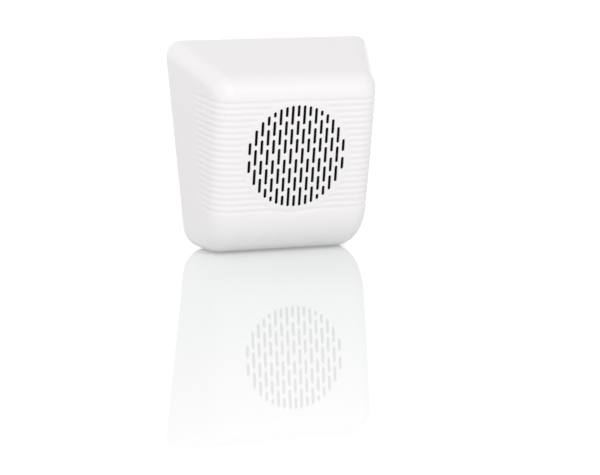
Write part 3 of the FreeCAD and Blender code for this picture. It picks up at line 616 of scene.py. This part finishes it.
def wadding_mesh():
    """Slack pad of wadding: the node's form with soft, uneven faces."""
    rough = bpy.data.objects.new("rough", nodes["damping_pad"].data.copy())
    bpy.context.scene.collection.objects.link(rough)
    remesh = rough.modifiers.new("even", "REMESH")
    remesh.mode = "VOXEL"
    remesh.voxel_size = WADDING_GRID * MM
    soften = rough.modifiers.new("soften", "SMOOTH")
    soften.iterations = WADDING_SMOOTHING
    bpy.context.view_layer.update()
    shaped = rough.evaluated_get(bpy.context.evaluated_depsgraph_get())
    mesh = bpy.data.meshes.new_from_object(shaped)
    bpy.data.objects.remove(rough)
    for vertex in mesh.vertices:
        hollow = 1.0 + noise.noise(vertex.co / (WADDING_PATCH * MM))
        vertex.co -= vertex.normal * hollow * WADDING_HOLLOW * MM
    mesh.shade_smooth()
    return mesh


def wedge_mesh(node, middle, half):
    """The part of a round node of the driver between two turns about its axis, closed at the cuts."""
    mesh = nodes[node].data.copy()
    work = bmesh.new()
    work.from_mesh(mesh)
    bmesh.ops.remove_doubles(work, verts=work.verts, dist=WELD * MM)
    axis_point = driver_point(0, 0, 0)
    for side in (-1, 1):
        turn = middle + side * half
        outward = driver_point(-side * math.sin(turn), side * math.cos(turn), 0) - axis_point
        everything = work.verts[:] + work.edges[:] + work.faces[:]
        cut = bmesh.ops.bisect_plane(work, geom=everything, plane_co=axis_point, plane_no=outward,
                                     clear_outer=True)
        edges = [e for e in cut["geom_cut"] if isinstance(e, bmesh.types.BMEdge)]
        bmesh.ops.contextual_create(work, geom=edges)
    work.to_mesh(mesh)
    work.free()
    return mesh


fabric = piece("grille_fabric", cloth_mesh(), "grille_cloth")
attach(fabric, "cabinet")

wadding = piece("wadding_pad", wadding_mesh(), "damping_pad")
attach(wadding, "cabinet")

for node, outer, inner in BLEND_RADII:
    for i in range(WEDGES):
        turn = 2 * math.pi * i / WEDGES
        part = piece(f"{node}_{i + 1:02d}", wedge_mesh(node, turn, math.pi / WEDGES), node)
        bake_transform(part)

leads = piece("flexible_leads", nodes["tinsel_leads"].data.copy(), "tinsel_leads")
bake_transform(leads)

# ---------------------------------------------------------------- floor, light and camera
AZIMUTH, ELEVATION, ROLL = math.radians(-21.81), math.radians(10.01), math.radians(0.63)
DISTANCE, SHIFT_RIGHT, SHIFT_UP = 2.2072, 0.0031, -0.0726
AHEAD = (-math.sin(AZIMUTH), math.cos(AZIMUTH), 0.0)     # level direction away from the viewer

FLOOR, FLOOR_HALF = BOTTOM * MM, 6
MIRROR, MIRROR_ROUGHNESS = 0.18, 0.02
# The floor's colour is painted darker near and under the cabinet than farther off: painted shade, not a
# tone the floor has.
SHADED_NEAR_FLOOR, FAR_FLOOR = (0.675, 0.70, 0.70, 1), (0.76, 0.765, 0.77, 1)
FLOOR_SHADE_ENDS = (-1.3, -0.1)                                # where the near colour, painted shade near and under the cabinet, ends and the lighter far one starts
FLOOR_GLOW = 0.2
SKY_COLOUR = (1.0, 0.978, 0.985, 1)
SKY_LEVELS, SKY_ENDS = (1.365, 0.83), (-0.1, 1.0)        # at the horizon and overhead
RIGHT_SIDE, LEFT_SIDE, SIDE_ENDS = -0.45, -0.06, (0.1, 0.9)    # how the sides differ from the front
SWEEP, SWEEP_ENDS = 1.4, (0.9, 0.97)                     # extra brightness of the sweep behind
KEY_PLACE, KEY_TARGET = (0.0, -1.8, 1.4), (0, -0.07, 0)
KEY_SIZE, KEY_POWER = 0.9, 12.6
LENS, SENSOR = 148.27, 36.0

floor_mesh = bpy.data.meshes.new("floor")
corners = [(x * FLOOR_HALF, y * FLOOR_HALF, FLOOR) for x, y in ((-1, -1), (1, -1), (1, 1), (-1, 1))]
floor_mesh.from_pydata(corners, [], [(0, 1, 2, 3)])
floor = bpy.data.objects.new("floor", floor_mesh)
bpy.context.scene.collection.objects.link(floor)


def along(tree, source, direction, ends, values):
    """Value that runs between two values as a vector's part along a direction runs between two ends."""
    dot = tree.nodes.new("ShaderNodeVectorMath")
    dot.operation = "DOT_PRODUCT"
    dot.inputs[1].default_value = direction
    tree.links.new(source, dot.inputs[0])
    ramp = tree.nodes.new("ShaderNodeMapRange")
    ramp.interpolation_type = "SMOOTHSTEP"
    for socket, value in zip(("From Min", "From Max", "To Min", "To Max"), (*ends, *values)):
        ramp.inputs[socket].default_value = value
    tree.links.new(dot.outputs["Value"], ramp.inputs["Value"])
    return ramp.outputs["Result"]


gloss = bpy.data.materials.new("gloss_white")
gloss.use_nodes = True
tree = gloss.node_tree
tree.nodes.clear()
output = tree.nodes.new("ShaderNodeOutputMaterial")
place = tree.nodes.new("ShaderNodeNewGeometry")
paint = tree.nodes.new("ShaderNodeBsdfDiffuse")
mirror = tree.nodes.new("ShaderNodeBsdfGlossy")
mirror.inputs["Roughness"].default_value = MIRROR_ROUGHNESS
mirror.inputs["Color"].default_value = (1, 1, 1, 1)
mix = tree.nodes.new("ShaderNodeMixShader")
mix.inputs["Fac"].default_value = MIRROR
# Painted shade: the floor's colour turns from the lighter far colour to the darker near one towards the
# cabinet.
floor_shade = tree.nodes.new("ShaderNodeMix")
floor_shade.data_type = "RGBA"
floor_shade.inputs["A"].default_value = SHADED_NEAR_FLOOR
floor_shade.inputs["B"].default_value = FAR_FLOOR
nearness = along(tree, place.outputs["Position"], AHEAD, FLOOR_SHADE_ENDS, (1, 0))
tree.links.new(nearness, floor_shade.inputs["Factor"])
tree.links.new(floor_shade.outputs["Result"], paint.inputs["Color"])
glow = tree.nodes.new("ShaderNodeEmission")
glow.inputs["Strength"].default_value = FLOOR_GLOW
lit = tree.nodes.new("ShaderNodeAddShader")
tree.links.new(paint.outputs["BSDF"], lit.inputs[0])
tree.links.new(glow.outputs["Emission"], lit.inputs[1])
tree.links.new(lit.outputs["Shader"], mix.inputs[1])
tree.links.new(mirror.outputs["BSDF"], mix.inputs[2])
tree.links.new(mix.outputs["Shader"], output.inputs["Surface"])
floor_mesh.materials.append(gloss)

world = bpy.data.worlds.new("studio")
bpy.context.scene.world = world
world.use_nodes = True
tree = world.node_tree
sky = tree.nodes["Background"]
sky.inputs["Color"].default_value = SKY_COLOUR
place = tree.nodes.new("ShaderNodeTexCoord")
sight = place.outputs["Generated"]
level = along(tree, sight, (0, 0, 1), SKY_ENDS, SKY_LEVELS)
for direction, ends, change in ((AHEAD, SWEEP_ENDS, SWEEP), ((1, 0, 0), SIDE_ENDS, RIGHT_SIDE),
                                ((-1, 0, 0), SIDE_ENDS, LEFT_SIDE)):
    total = tree.nodes.new("ShaderNodeMath")
    tree.links.new(level, total.inputs[0])
    tree.links.new(along(tree, sight, direction, ends, (0, change)), total.inputs[1])
    level = total.outputs["Value"]
tree.links.new(level, sky.inputs["Strength"])


light = bpy.data.lights.new("key", "AREA")
light.shape = "SQUARE"
light.size = KEY_SIZE
light.energy = KEY_POWER
key = bpy.data.objects.new("key", light)
bpy.context.scene.collection.objects.link(key)
key.location = KEY_PLACE
key.rotation_euler = (Vector(KEY_TARGET) - Vector(KEY_PLACE)).to_track_quat("-Z", "Y").to_euler()

look = math.cos(ELEVATION) * Vector(AHEAD) - Vector((0, 0, math.sin(ELEVATION)))
level_right = Vector((math.cos(AZIMUTH), math.sin(AZIMUTH), 0))
level_up = level_right.cross(look)
right = math.cos(ROLL) * level_right + math.sin(ROLL) * level_up
up = -math.sin(ROLL) * level_right + math.cos(ROLL) * level_up
aim = Vector((0, *GRILLE)) * MM + SHIFT_RIGHT * right + SHIFT_UP * up
camera_data = bpy.data.cameras.new("camera")
camera_data.lens = LENS
camera_data.sensor_width = SENSOR
camera_data.clip_start = 0.05
camera = bpy.data.objects.new("camera", camera_data)
bpy.context.scene.collection.objects.link(camera)
turned = Matrix((right, up, -look)).transposed().to_4x4()
camera.matrix_world = Matrix.Translation(aim - DISTANCE * look) @ turned
bpy.context.scene.camera = camera
bpy.context.scene.view_settings.view_transform = "Standard"
